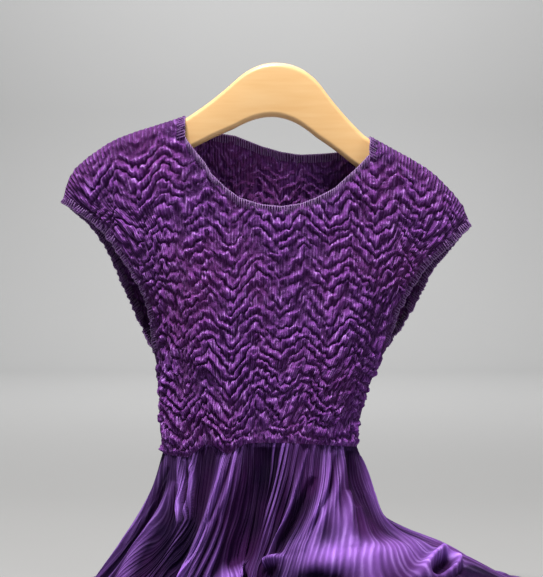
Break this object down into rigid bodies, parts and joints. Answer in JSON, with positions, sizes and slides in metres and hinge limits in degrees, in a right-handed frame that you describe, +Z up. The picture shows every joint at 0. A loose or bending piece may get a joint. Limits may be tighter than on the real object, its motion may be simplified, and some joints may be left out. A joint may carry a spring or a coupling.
{
  "type": "pleated dress on a wooden hanger",
  "caption": "Crinkled cap-sleeved dress on a plain wooden hanger, its pleated skirt pooled on the surface below.",
  "frame": {"origin": "highest point of the hanger, midway through its thickness, where its missing hook would be held", "axes": "+X along the hanger to the wearer's left arm, +Y from the front to the back of the dress, +Z up"},
  "size_m": [0.8126, 0.6009, 0.6],
  "materials": {
    "wood": "clear satin varnish",
    "bodice_cloth": "crinkled crepe in chevron ridges",
    "skirt_cloth": "finely pleated crepe"
  },
  "bodies": {
    "root": {"hanger": "wood", "bodice_front": "bodice_cloth", "bodice_back": "bodice_cloth", "skirt_front": "skirt_cloth", "skirt_back": "skirt_cloth"}
  },
  "joints": []
}
